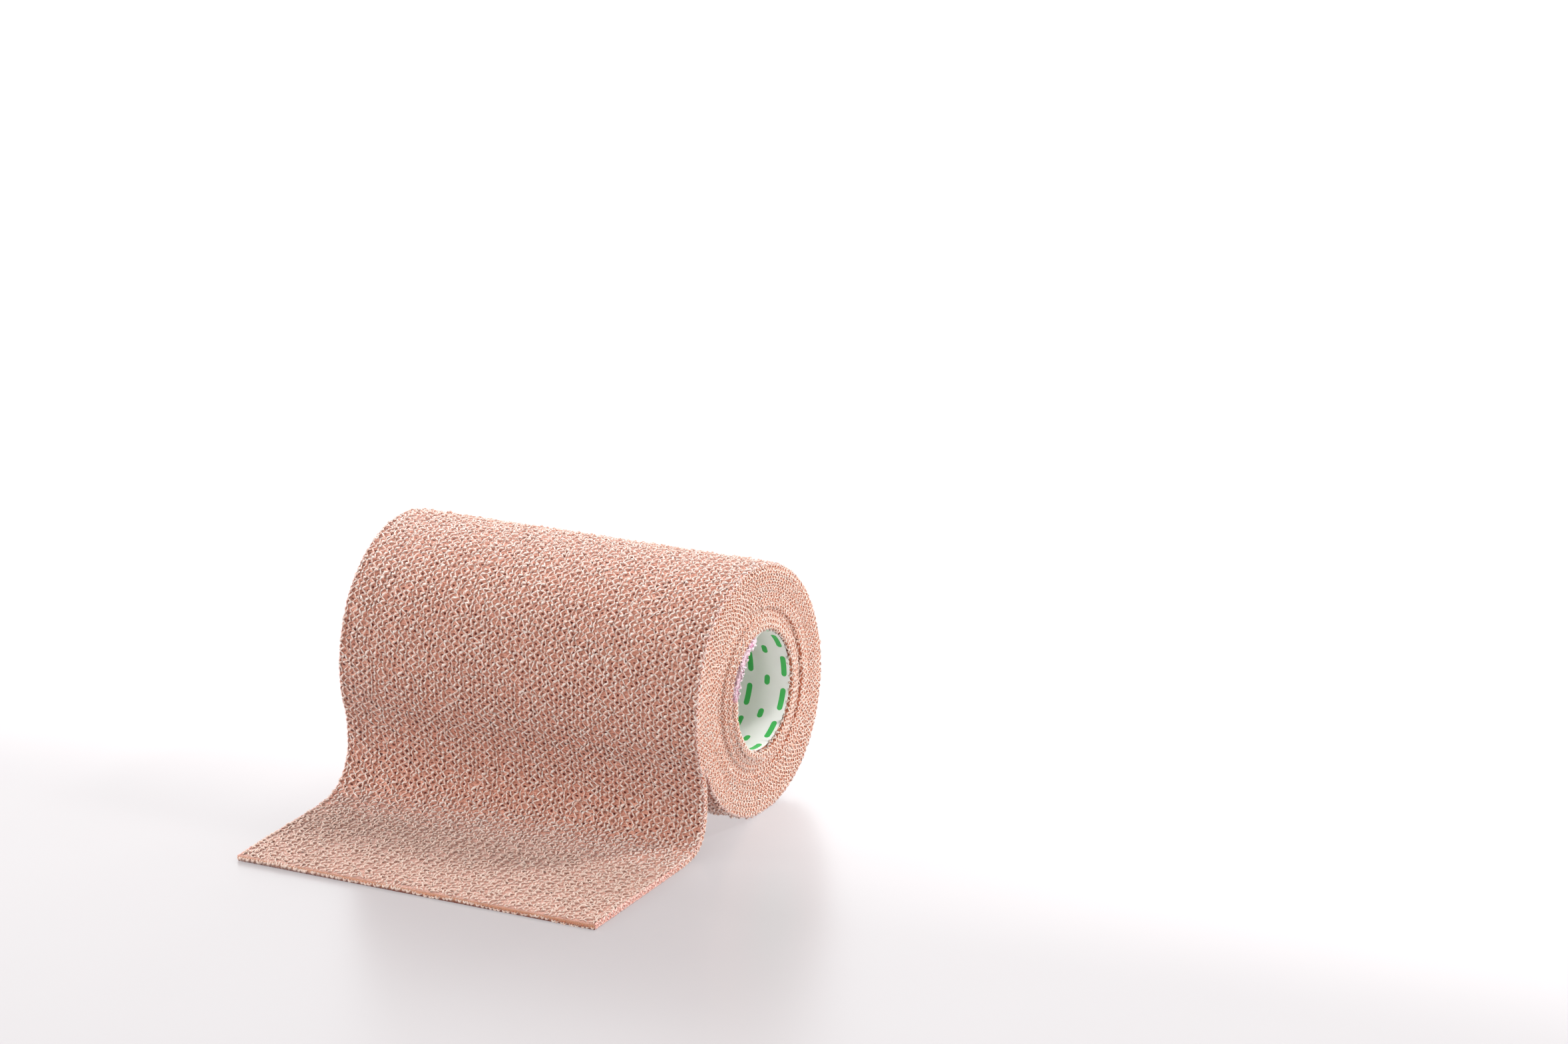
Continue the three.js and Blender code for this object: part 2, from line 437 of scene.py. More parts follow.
class Nodes:
    """A material and short ways to add to its nodes."""

    SHEEN_ROUGHNESS = 0.35
    MIX_SHARE = 0
    MIX_FIRST = 6
    MIX_SECOND = 7
    MIX_RESULT = 2

    def __init__(self, name, roughness, sheen=0.0, specular=0.25):
        self.material = bpy.data.materials.new(name)
        self.material.use_nodes = True
        self.tree = self.material.node_tree
        self.shader = self.tree.nodes["Principled BSDF"]
        self.shader.inputs["Roughness"].default_value = roughness
        self.shader.inputs["Specular IOR Level"].default_value = specular
        self.shader.inputs["Sheen Weight"].default_value = sheen
        self.shader.inputs["Sheen Roughness"].default_value = self.SHEEN_ROUGHNESS

    def put(self, socket, value):
        if isinstance(value, bpy.types.NodeSocket):
            self.tree.links.new(value, socket)
        elif value is not None:
            socket.default_value = value

    def math(self, operation, first, second=None, third=None):
        node = self.tree.nodes.new("ShaderNodeMath")
        node.operation = operation
        for socket, value in zip(node.inputs, (first, second, third)):
            self.put(socket, value)
        return node.outputs[0]

    def ramp(self, value, low, high, to_low=0.0, to_high=1.0):
        """Eased from to_low at low to to_high at high."""
        node = self.tree.nodes.new("ShaderNodeMapRange")
        node.interpolation_type = "SMOOTHSTEP"
        for socket, given in zip(node.inputs, (value, low, high, to_low, to_high)):
            self.put(socket, given)
        return node.outputs[0]

    def wave(self, value, period):
        """The sine of a value that comes round once a period."""
        return self.math("SINE", self.math("MULTIPLY", value, 2 * math.pi / period))

    def mix(self, share, first, second):
        node = self.tree.nodes.new("ShaderNodeMix")
        node.data_type = "RGBA"
        self.put(node.inputs[self.MIX_SHARE], share)
        self.put(node.inputs[self.MIX_FIRST], first)
        self.put(node.inputs[self.MIX_SECOND], second)
        return node.outputs[self.MIX_RESULT]

    def noise(self, size, detail=2.0):
        """Noise whose features are about size millimetres across."""
        place = self.tree.nodes.new("ShaderNodeTexCoord")
        node = self.tree.nodes.new("ShaderNodeTexNoise")
        node.inputs["Scale"].default_value = 1 / (size * MM)
        node.inputs["Detail"].default_value = detail
        self.put(node.inputs["Vector"], place.outputs["Object"])
        return node.outputs[0]

    def uv(self):
        """The piece's own two coordinates in millimetres: across and along its sheet."""
        node = self.tree.nodes.new("ShaderNodeUVMap")
        node.uv_map = "strip"
        parts = self.tree.nodes.new("ShaderNodeSeparateXYZ")
        self.put(parts.inputs[0], node.outputs[0])
        return parts.outputs[0], parts.outputs[1]

    def roll_place(self, axis):
        """A coordinate in the roll's own frame in millimetres."""
        place = self.tree.nodes.new("ShaderNodeTexCoord")
        parts = self.tree.nodes.new("ShaderNodeSeparateXYZ")
        self.put(parts.inputs[0], place.outputs["Object"])
        origin = to_row_frame(np.zeros(3))[axis] / MM
        return self.math("MULTIPLY_ADD", parts.outputs[axis], 1 / MM, -float(origin))

    def bump(self, height, distance):
        """Relief from a height, where 1 stands distance millimetres high."""
        node = self.tree.nodes.new("ShaderNodeBump")
        node.inputs["Strength"].default_value = 1.0
        node.inputs["Distance"].default_value = distance * MM
        self.put(node.inputs["Height"], height)
        self.put(self.shader.inputs["Normal"], node.outputs[0])

    def colour(self, value):
        self.put(self.shader.inputs["Base Color"], value)


CREAM = srgb(255, 240, 230)
CREAM_DARK = srgb(238, 190, 170)
# Beige: cream yarns where the loose end lies flat, partly the relaxed crepe's tone, partly painted
# shade
BEIGE = srgb(235, 211, 197)
BEIGE_DARK = srgb(221, 185, 169)
PEACH = srgb(255, 236, 224)
PEACH_DARK = srgb(246, 196, 172)
PINK = srgb(255, 230, 222)
PINK_DARK = srgb(244, 196, 184)
# Rose: edge and selvage yarns where the loose end lies flat, partly the relaxed crepe's tone,
# partly painted shade
ROSE = srgb(250, 214, 203)
ROSE_DARK = srgb(238, 178, 164)
# Lilac and magenta: painted purple bounce light on the strip's inner end
LILAC = srgb(250, 234, 240)
LILAC_DARK = srgb(240, 206, 220)
LILAC_GROUND = srgb(238, 208, 218)
MAGENTA = srgb(216, 152, 182)
SALMON = srgb(242, 180, 158)
SALMON_DEEP = srgb(204, 136, 114)
# The slots' dark colour is painted shade in the weave's openings
SLOT_SHADE = srgb(110, 42, 30)
EDGE_ORANGE = srgb(192, 114, 86)
CUT_TERRACOTTA = srgb(206, 148, 120)
# Brown at the cut's foot is painted shade
CUT_SHADE_BROWN = srgb(146, 78, 66)
# Beige ground and rose selvage where the loose end lies flat: partly the relaxed crepe, partly
# painted light
RELAXED_SHADED_BEIGE = srgb(209, 160, 144)
SELVAGE_ROSE = srgb(238, 176, 162)
ACRYLIC = srgb(109, 107, 108)
ACRYLIC_PALE = srgb(112, 110, 111)
TABLE_GLOW = srgb(255, 249, 251)
FILM_WHITE = srgb(236, 237, 232)
# The film's grey is painted shade in its hollows
FILM_SHADE_GREY = srgb(228, 229, 222)
FILM_GREEN = srgb(70, 180, 90)

# The ground's zones. A pair of numbers is where a change begins and where it is complete.
CUT_WALL_TO = (0.02, 0.25)
CUT_SHADE_HEIGHTS = (0.25, 0.75)
# Where the loose end lies flat the ground turns beige and its slots close: partly the relaxed
# crepe's own look, partly painted light
RELAXED_SHADING_TO = (26.0, 50.0)
MOST_RELAXED_SHADING = 0.85
SELVAGE_FROM = (49.3, 49.8)
# The lilac and its magenta specks are painted purple bounce light
LILAC_BLEND = 1.0
SPECK_SIZE = 0.9
SPECKS = (0.56, 0.62)

# The ground's weave. The pairs are shares of a wave or of a noise.
WOBBLE_SIZE = 1.3
WOBBLE = 0.7
SLOT_ALONG = (0.55, 0.85)
SLOT_ACROSS = (0.4, 0.8)
SLOT_CELLS = (0.1, 0.3)
SLOT_NOISE_SIZE = 1.1
SLOT_NOISE = (0.36, 0.56)
PALEST_SLOT = 0.35
SLOTS_CLOSED = 0.95
WEFTS_PER_ZIGZAG = 3
WEFT_VALLEYS = (-1.0, 0.3)
VALLEY_SHADE = 0.6
FIBRE_NOISE_SIZE = 0.45
FIBRE_NOISE = (0.34, 0.66)
FIBRE_SHADE = 0.4
FIBRE_LIFTS_WALL = 0.3

# The ground's fine relief: its depth, and the share of it that each part of the weave takes
GROUND_RELIEF = 0.15
WEFT_RELIEF = 0.25
SLOT_RELIEF = 1.2
FIBRE_RELIEF = 0.5


def ground_material(lilac_along):
    """The crepe's salmon ground: weft ridges, a dark slot of painted shade in each cell, orange
    selvages.
    """
    nodes = Nodes("crepe_ground", roughness=0.8, sheen=0.6, specular=0.5)
    around, along = nodes.uv()
    cut = nodes.ramp(along, *CUT_WALL_TO, 1.0, 0.0)
    # Beige where the loose end lies flat: partly the relaxed crepe, partly painted light
    relaxed_and_shaded = nodes.ramp(along, *RELAXED_SHADING_TO, MOST_RELAXED_SHADING, 0.0)
    wobble = nodes.math("MULTIPLY_ADD", nodes.noise(WOBBLE_SIZE), WOBBLE, -WOBBLE / 2)
    along = nodes.math("ADD", along, wobble)
    around = nodes.math("SUBTRACT", around, wobble)

    swing = nodes.wave(along, ZIGZAG_PERIOD)
    cross = nodes.wave(around, 2 * ROW_PITCH)
    cell = nodes.math("MULTIPLY", swing, cross)
    # Each cell's opening: a dark slot of painted shade, and a dip in the relief
    narrow = nodes.ramp(nodes.math("ABSOLUTE", swing), *SLOT_ALONG)
    wide = nodes.ramp(nodes.math("ABSOLUTE", cross), *SLOT_ACROSS)
    open_cell = nodes.ramp(cell, *SLOT_CELLS)
    slot = nodes.math("MULTIPLY", nodes.math("MULTIPLY", narrow, wide), open_cell)
    depth = nodes.ramp(nodes.noise(SLOT_NOISE_SIZE), *SLOT_NOISE, PALEST_SLOT, 1.0)
    slot = nodes.math("MULTIPLY", slot, depth)

    weft = nodes.wave(along, ZIGZAG_PERIOD / WEFTS_PER_ZIGZAG)
    lively = nodes.ramp(nodes.noise(FIBRE_NOISE_SIZE), *FIBRE_NOISE)
    valley = nodes.ramp(weft, *WEFT_VALLEYS, 0.0, VALLEY_SHADE)
    shade = nodes.math("MULTIPLY_ADD", lively, FIBRE_SHADE, valley)
    ground = nodes.mix(shade, SALMON_DEEP, SALMON)
    ground = nodes.mix(relaxed_and_shaded, ground, RELAXED_SHADED_BEIGE)
    past_edge = nodes.ramp(nodes.math("ABSOLUTE", around), *SELVAGE_FROM)
    ground = nodes.mix(past_edge, ground, nodes.mix(relaxed_and_shaded, EDGE_ORANGE, SELVAGE_ROSE))
    # The cut wall is terracotta, darkening to brown towards its foot: painted shade
    wall = nodes.math("MULTIPLY_ADD", lively, FIBRE_LIFTS_WALL, nodes.roll_place(2))
    wall = nodes.mix(nodes.ramp(wall, *CUT_SHADE_HEIGHTS), CUT_SHADE_BROWN, CUT_TERRACOTTA)
    ground = nodes.mix(cut, ground, wall)
    # Painted purple bounce light: the inner end turns lilac, with magenta specks
    inner_end = nodes.ramp(along, lilac_along - LILAC_BLEND, lilac_along + LILAC_BLEND)
    specks = nodes.ramp(nodes.noise(SPECK_SIZE), *SPECKS)
    ground = nodes.mix(inner_end, ground, nodes.mix(specks, LILAC_GROUND, MAGENTA))

    slot = nodes.math("MULTIPLY", slot, nodes.math("SUBTRACT", 1.0, past_edge))
    stretched = nodes.math("MULTIPLY_ADD", relaxed_and_shaded, -SLOTS_CLOSED, 1.0)
    slot = nodes.math("MULTIPLY", slot, stretched)
    nodes.colour(nodes.mix(slot, ground, SLOT_SHADE))
    ridges = nodes.math("MULTIPLY", weft, WEFT_RELIEF)
    height = nodes.math("SUBTRACT", ridges, nodes.math("MULTIPLY", slot, SLOT_RELIEF))
    height = nodes.math("MULTIPLY_ADD", lively, FIBRE_RELIEF, height)
    nodes.bump(height, GROUND_RELIEF)
    return nodes.material


# The yarns' fibres and sheen, and where the loose end comes to lie flat, in the roll's own Y
STREAK_SIZE = 0.6
STREAKS = (0.36, 0.62)
FIBRE_SIZE = 0.12
YARN_RELIEF = 0.05
FLAT_BELOW = -52.0
FOLDED_ABOVE = -33.0
CREPE_SHEEN = 1.0
SELVAGE_SHEEN = 0.2
EDGE_SHEEN = 0.1
SHEEN_OVER_FLAT_SHEEN = 3


def yarn_material(name, light, dark, sheen, flat_light=None, flat_dark=None):
    """A soft spun yarn: fibres lighter and darker, with a downy edge, duller where it lies flat,
    partly painted shade.
    """
    nodes = Nodes(name, roughness=0.75, sheen=sheen, specular=0.5)
    streaks = nodes.ramp(nodes.noise(STREAK_SIZE, detail=3.0), *STREAKS)
    colour = nodes.mix(streaks, dark, light)
    # Darker where the loose end lies flat: partly the relaxed crepe's own tone, partly painted
    # shade against the light from above
    if flat_light is not None:
        place = nodes.roll_place(1)
        flat = nodes.ramp(place, FLAT_BELOW, FOLDED_ABOVE, 1.0, 0.0)
        colour = nodes.mix(flat, colour, nodes.mix(streaks, flat_dark, flat_light))
        flat_sheen = sheen / SHEEN_OVER_FLAT_SHEEN
        downy = nodes.ramp(place, FLAT_BELOW, FOLDED_ABOVE, flat_sheen, sheen)
        nodes.put(nodes.shader.inputs["Sheen Weight"], downy)
    nodes.colour(colour)
    nodes.bump(nodes.noise(FIBRE_SIZE), YARN_RELIEF)
    return nodes.material


# The liner's plain round-ended bars, in lanes, long and short by turns
LANE_PITCH = 4.6
BAR_PITCH = 8.4
LONG_BAR = 2.0
SHORT_BAR = 0.5
BAR_HALF_WIDTH = 0.75
BAR_SOFTNESS = 0.05

# The film itself is a little uneven, and greyer where it lies lower: painted shade in its hollows
UNEVEN_SIZE = 12.0
HOLLOW_SHADE = (0.35, 0.65)
FILM_RELIEF = 0.4


def film_material():
    """The liner: pale glossy film with staggered plain green bars."""
    nodes = Nodes("liner_film", roughness=0.38)
    across, along = nodes.uv()
    unevenness = nodes.noise(UNEVEN_SIZE)
    lane = nodes.math("FLOOR", nodes.math("DIVIDE", across, LANE_PITCH))
    odd = nodes.math("MODULO", nodes.math("ABSOLUTE", lane), 2.0)
    moved = nodes.math("MULTIPLY_ADD", odd, BAR_PITCH / 2, along)
    in_along = nodes.math("PINGPONG", moved, BAR_PITCH / 2)
    in_lane = nodes.math("PINGPONG", nodes.math("ADD", across, LANE_PITCH / 2), LANE_PITCH / 2)
    reach = nodes.math("MULTIPLY_ADD", odd, SHORT_BAR - LONG_BAR, LONG_BAR)
    past_end = nodes.math("MAXIMUM", nodes.math("SUBTRACT", in_along, reach), 0.0)
    squares = [nodes.math("POWER", side, 2.0) for side in (past_end, in_lane)]
    far = nodes.math("SQRT", nodes.math("ADD", *squares))
    bar = nodes.ramp(far, BAR_HALF_WIDTH - BAR_SOFTNESS, BAR_HALF_WIDTH + BAR_SOFTNESS, 1.0, 0.0)
    # Greyer where the relief is low: painted shade
    white = nodes.mix(nodes.ramp(unevenness, *HOLLOW_SHADE), FILM_SHADE_GREY, FILM_WHITE)
    nodes.colour(nodes.mix(bar, white, FILM_GREEN))
    nodes.bump(unevenness, FILM_RELIEF)
    return nodes.material


# Places round the strip's section: shares of its flat half, and of the bend round its selvage
UPPER_SHARES = (-1, -0.5, 0, 0.5, 1)
SELVAGE_SHARES = (0.2, 0.4, 0.6, 0.8)
LOWER_SHARES = (0, 0.5, 1)


def strip_piece(strip, material):
    """The sheet itself, one closed mesh from the tip to the inner end."""
    loose = np.linspace(0, strip.loose_length, LOOSE_STEPS, endpoint=False)
    turns = np.linspace(0, TURNS, int(TURNS * STEPS_PER_TURN))
    along = np.concatenate([loose, strip.along_at(turns)])
    upper = FLAT_HALF * np.array(UPPER_SHARES)
    selvage = FLAT_HALF + HALF_THICKNESS * math.pi * np.array(SELVAGE_SHARES)
    inner_edge = FLAT_HALF + HALF_THICKNESS * math.pi
    lower = inner_edge + FLAT_HALF * np.array(LOWER_SHARES)
    half_right = np.concatenate([selvage, lower])
    half_left = -half_right[:-1][::-1]
    around = np.concatenate([upper, half_right, half_left])
    points = strip.place(along[:, None], around[None, :], 0.0)
    rings, sides = points.shape[:2]
    corner = np.arange(rings * sides).reshape(rings, sides)
    following = np.roll(corner, -1, axis=1)
    walls = np.stack(
        [corner[:-1], following[:-1], following[1:], corner[1:]], axis=-1
    ).reshape(-1, 4)
    faces = [walls, cap_quads(corner[0], reverse=True), cap_quads(corner[-1], reverse=False)]
    piece = mesh_piece("crepe_strip", points.reshape(-1, 3), faces, material)
    uv = np.stack(np.broadcast_arrays(around[None, :], along[:, None]), -1).reshape(-1, 2)
    set_uv(piece, uv)
    return piece


def cap_quads(ring, reverse):
    """Quads that close a ring with an even number of corners, from its first edge across."""
    count = len(ring)
    quads = []
    for step in range(count // 2 - 1):
        quads.append(
            [ring[step], ring[step + 1], ring[count - 2 - step], ring[count - 1 - step]]
        )
    quads = np.array(quads)
    return quads[:, ::-1] if reverse else quads


def crepe_rows(sides, start, end):
    """Zigzag rows along the strip at the given row numbers, from start to end in millimetres.

    Neighbours meet near their peaks, so both take the same wander there, and one of them passes
    over the other. Strokes that rise to the right are full and lie on top. Those between them
    are thin, bowed, and steep in the middle.
    """
    periods = int((end - start) / ZIGZAG_PERIOD)
    peaks = 2 * periods + 1
    wander = RANDOM.normal(0, WANDER_VARIES, (2, len(sides) + 1, peaks))
    over = RANDOM.choice((-1.0, 1.0), (len(sides) + 1, peaks))
    parity = np.where(np.mod(sides, 2) == 0, -1.0, 1.0)[:, None]
    side = parity * np.where(np.arange(peaks) % 2 == 0, 1.0, -1.0)[None, :]
    boundary = np.arange(len(sides))[:, None] + (side > 0)
    peak = np.arange(peaks)[None, :]
    peak_around = sides[:, None] * ROW_PITCH + side * ZIGZAG_REACH + wander[0][boundary, peak]
    peak_along = start + (peak + 0.5) * ZIGZAG_PERIOD / 2 + wander[1][boundary, peak]
    peak_height = PEAK_HEIGHT + side * over[boundary, peak] * CROSSING
    steps = np.arange((peaks - 1) * STEPS_PER_STROKE + 1)
    before = np.minimum(steps // STEPS_PER_STROKE, peaks - 2)
    part = steps / STEPS_PER_STROKE - before
    rising = side[:, before] < 0
    hook = np.where(rising, RISING_HOOK, FALLING_HOOK)
    bowed = part - hook * np.sin(2 * math.pi * part) / (2 * math.pi)
    arch = np.sin(math.pi * part) ** 2
    shape = (len(sides), len(steps))

    def between(values, share):
        return values[:, before] * (1 - share) + values[:, before + 1] * share

    along = between(peak_along, part) + RANDOM.normal(0, PLACE_VARIES, shape)
    around = between(peak_around, bowed) + RANDOM.normal(0, PLACE_VARIES, shape)
    stroke = RANDOM.normal(0, STROKE_VARIES, (len(sides), peaks))[:, before] * arch
    alternate = ALTERNATES * parity * np.where(rising, 1.0, FALLING_ALTERNATES)
    fullness = np.where(rising, RISING_FULLNESS, FALLING_FULLNESS) + alternate
    fullness = fullness * arch + stroke
    raised = np.where(rising, RISING_ARCH, FALLING_ARCH) + ALTERNATES_IN_HEIGHT * alternate
    raised = raised * arch + stroke * YARN_RADIUS - eased(RELAXED, 2, along)
    height = between(peak_height, part) + raised + RANDOM.normal(0, PLACE_VARIES, shape)
    radius = PEAK_FULLNESS + fullness + RANDOM.normal(0, FULLNESS_VARIES, shape)
    radius = YARN_RADIUS * radius * eased(RELAXED, 1, along)
    return along, around, height, radius


def crepe_yarns(strip, material):
    """The cream yarns of the outer turn and the loose end, in pieces side by side."""
    sides = np.arange(-ROWS_EACH_SIDE, ROWS_EACH_SIDE + 1)
    end = float(strip.along_at(YARNS_TO))
    pieces = []
    for number, group in enumerate(np.array_split(sides, YARN_PIECES)):
        points, faces = strip.tubes(*crepe_rows(group, YARNS_FROM, end))
        pieces.append(mesh_piece(f"crepe_yarns_{number + 1}", points, faces, material))
    return pieces


# Edge yarns: rows round the selvage, by their angle round the edge and the turn they start at
EDGE_ROWS = ((54.0, 0.0), (126.0, 0.0), (-20.0, 7.0), (-68.0, 8.0))
EDGE_PERIOD = 1.4
EDGE_STEPS = 5
EDGE_SWING = 34.0
EDGE_SWING_VARIES = 8.0
EDGE_ALONG_VARIES = 0.07
EDGE_HEIGHT = 0.05
EDGE_RISES = 0.06
EDGE_HEIGHT_VARIES = 0.04
EDGE_YARN_RADIUS = 0.2
EDGE_YARN_VARIES = 0.15


def edge_yarns(strip, side, name, material):
    """The looped edge of the strip at the left (-1) or the right (1), up to where its end is
    painted lilac.
    """
    step = EDGE_PERIOD / EDGE_STEPS
    lilac_light_from = float(strip.along_at(LILAC_FROM))
    points, walls, ends = [], [], []
    for number, (centre, from_turn) in enumerate(EDGE_ROWS):
        start = float(strip.along_at(from_turn)) if from_turn else 0.0
        count = int((lilac_light_from - start) / step)
        base = start + step * (0.5 + np.arange(count))
        phase = 2 * math.pi * (base / EDGE_PERIOD + 0.5 * number)
        swing = centre + EDGE_SWING * np.sin(phase) + RANDOM.normal(0, EDGE_SWING_VARIES, count)
        around = side * (FLAT_HALF + HALF_THICKNESS * np.radians(swing))
        along = base + RANDOM.normal(0, EDGE_ALONG_VARIES, count)
        height = EDGE_HEIGHT + EDGE_RISES * np.cos(2 * phase)
        height = height + RANDOM.normal(0, EDGE_HEIGHT_VARIES, count)
        radius = EDGE_YARN_RADIUS * (1 + RANDOM.normal(0, EDGE_YARN_VARIES, count))
        row, (wall, end) = strip.tubes(along[None], around[None], height[None], radius[None])
        first = sum(len(group) for group in points)
        points.append(row)
        walls.append(wall + first)
        ends.append(end + first)
    faces = (np.concatenate(walls), np.concatenate(ends))
    return mesh_piece(name, np.concatenate(points), faces, material)


# Selvage loops: where they lie across the section, past its flat part, and how they lean along it
SELVAGE_CENTRE = 0.1
SELVAGE_REACH = 0.55
SELVAGE_REACH_VARIES = 0.2
SELVAGE_LEAN = 0.25
SELVAGE_ALONG_VARIES = 0.06
SELVAGE_HEIGHT = 0.12
SELVAGE_HEIGHT_VARIES = 0.04
SELVAGE_STEPS = 8
SELVAGE_STEPS_ALIKE = 4

# Their fullness: shares of the yarn's radius
SELVAGE_FULLNESS = 0.75
SELVAGE_SWELLS = 0.5
SELVAGE_FULLNESS_VARIES = 0.08
SELVAGE_THINNEST = 0.3


def selvage_loops(strip, side, name, material):
    """Loops of yarn over the upper corner of the outer turn's and the loose end's selvage."""
    step = ZIGZAG_PERIOD / SELVAGE_STEPS
    count = int(strip.along_at(1.0) / step)
    base = step * (0.5 + np.arange(count))
    phase = 2 * math.pi * base / ZIGZAG_PERIOD
    knots = base[::SELVAGE_STEPS_ALIKE]
    uneven = np.interp(base, knots, RANDOM.normal(0, SELVAGE_REACH_VARIES, len(knots)))
    reach = SELVAGE_REACH * (1 + uneven)
    around = side * (FLAT_HALF + SELVAGE_CENTRE + reach * np.sin(phase))
    along = base + SELVAGE_LEAN * np.sin(2 * phase)
    along = along + RANDOM.normal(0, SELVAGE_ALONG_VARIES, count)
    height = SELVAGE_HEIGHT + RANDOM.normal(0, SELVAGE_HEIGHT_VARIES, count)
    fullness = SELVAGE_FULLNESS + SELVAGE_SWELLS * np.sin(phase)
    fullness = fullness + RANDOM.normal(0, SELVAGE_FULLNESS_VARIES, count)
    radius = YARN_RADIUS * np.maximum(fullness, SELVAGE_THINNEST)
    points, faces = strip.tubes(along[None], around[None], height[None], radius[None])
    return mesh_piece(name, points, faces, material)


# The cut end: loops of cream yarn hang over it, unevenly deep. They are spaced as the rows are.
CUT_ACROSS_VARIES = 0.18
CUT_TIP_VARIES = 0.08
CUT_HALF_WIDTH = 0.4
CUT_WIDTH_VARIES = 0.15
CUT_DROP = 0.45
CUT_DROP_VARIES = 0.12
CUT_DROP_POWER = 1.5
CUT_LEAN_VARIES = 0.25
CUT_STANDS_UP = 0.08
CUT_BACK = 0.5
CUT_FORWARD = 0.2
CUT_STEPS = 9

# How far the loops sink: in waves some loops long, and deeper towards the right
CUT_LOWEST = 0.75
CUT_LOOPS_PER_WAVE = 5
CUT_LEFT_SHARE = 0.35

# Their fullness at the left, and how much they thin to the right, as shares of the yarn's radius
CUT_FULLNESS = 1.3
CUT_THINS = 0.4
CUT_OUTWARDS = (0.0, -1.0, 0.35)

# The ends of the elastic threads inside the loops: Y of their points, depth, radius and lean
THREAD_REACH = (0.4, 0.0, -0.22)
THREAD_DEPTH = 0.55
THREAD_RADIUS = 0.34
THREAD_LEAN = 0.5


def cut_places(strip, count):
    """Places along the top of the cut: points of the tip, unevenly spaced across the width."""
    across = (np.arange(count) - (count - 1) / 2) * ROW_PITCH
    across = across + RANDOM.normal(0, CUT_ACROSS_VARIES, count)
    tip = strip.place(np.zeros(count), across, 0.0)
    tip[:, 1] += RANDOM.normal(0, CUT_TIP_VARIES, count)
    return tip


def cut_end(strip, cream, orange):
    """The loops over the cut, and the ends of the elastic threads inside them."""
    count = int(WIDTH / ROW_PITCH)
    tip = cut_places(strip, count)
    turned = np.linspace(0, math.pi, CUT_STEPS)
    sunk = np.sin(turned)
    half = CUT_HALF_WIDTH * (1 + RANDOM.normal(0, CUT_WIDTH_VARIES, count))
    drop = CUT_DROP * (1 + RANDOM.normal(0, CUT_DROP_VARIES, count))
    lean = RANDOM.normal(0, CUT_LEAN_VARIES, count)
    knots = np.arange(0, count + CUT_LOOPS_PER_WAVE, CUT_LOOPS_PER_WAVE)
    lower = np.interp(np.arange(count), knots, RANDOM.uniform(0, 1, len(knots)))
    share = np.arange(count) / count
    lower = CUT_LOWEST * lower * (share + CUT_LEFT_SHARE)
    x = tip[:, :1] + half[:, None] * np.cos(turned) + lean[:, None] * sunk
    y = tip[:, 1:2] + CUT_BACK * (1 - sunk) ** 2 - CUT_FORWARD * sunk
    z = tip[:, 2:] + CUT_STANDS_UP - lower[:, None] - drop[:, None] * sunk**CUT_DROP_POWER
    loops = np.stack([x, y, z], -1)
    thick = YARN_RADIUS * (CUT_FULLNESS - CUT_THINS * share[:, None])
    points, faces = tubes_through(loops, np.array(CUT_OUTWARDS), thick)
    made = [mesh_piece("cut_loops", points, faces, cream)]
    threads = np.repeat(tip[:, None], len(THREAD_REACH), axis=1)
    threads[:, :, 0] += THREAD_LEAN * lean[:, None]
    threads[:, :, 1] += np.array(THREAD_REACH)
    threads[:, :, 2] -= THREAD_DEPTH
    points, faces = tubes_through(threads, np.array([0.0, 0.0, 1.0]), THREAD_RADIUS)
    made.append(mesh_piece("cut_threads", points, faces, orange))
    return made


def inner_rows(strip, side, turns, rows, name, material):
    """Rows of crepe on an inner turn, where it shows: from turn to turn, at the row numbers."""
    start, end = strip.along_at(np.array(turns))
    rows = np.sort(side * np.array(rows))
    points, faces = strip.tubes(*crepe_rows(rows, float(start), float(end)))
    return mesh_piece(name, points, faces, material)


# The film round the bore: its gap under the cloth, how much further it shows at the right than
# the solid does, and the share of a turn that its step takes
LINER_THICKNESS = 0.3
LINER_GAP = 0.25
LINER_SHOWS = 0.5
LINER_STEP = 0.08
LINER_STEPS_ROUND = 120
LINER_STEPS_ACROSS = 13


def liner_piece(material):
    """The film round the bore: it follows the innermost turn and steps at its end."""
    part = np.arange(LINER_STEPS_ROUND) / LINER_STEPS_ROUND
    angle = INNER_END_AT - 360 * part
    last_turn = TURNS - 1 + part
    radius = wound_radius(last_turn) - 2 * HALF_THICKNESS - LINER_GAP
    end_radius = float(wound_radius(np.array([TURNS]))[0]) - 2 * HALF_THICKNESS - LINER_GAP
    radius = end_radius + (radius - end_radius) * smooth(np.clip(part / LINER_STEP, 0, 1))
    turned = np.radians(angle)
    across = np.linspace(LINER_LEFT, LINER_RIGHT + LINER_SHOWS, LINER_STEPS_ACROSS)
    rings = []
    for inwards in (0.0, LINER_THICKNESS):
        y = (radius - inwards) * np.cos(turned)
        z = AXIS_HEIGHT + (radius - inwards) * np.sin(turned)
        rings.append(np.stack(np.broadcast_arrays(across[:, None], y[None, :], z[None, :]), -1))
    outer, inner = rings
    section = np.concatenate([outer, inner[::-1]])
    corner = np.arange(len(section) * LINER_STEPS_ROUND).reshape(len(section), -1)
    down = np.roll(corner, -1, axis=0)
    walls = np.stack([corner, down, np.roll(down, -1, axis=1), np.roll(corner, -1, axis=1)], -1)
    piece = mesh_piece("liner_film", section.reshape(-1, 3), [walls.reshape(-1, 4)], material)
    length = np.radians(360 * part) * BORE_RADIUS
    both = np.concatenate([across, across[::-1]])
    uv = np.stack(np.broadcast_arrays(both[:, None], length[None, :]), -1).reshape(-1, 2)
    set_uv(piece, uv)
    return piece


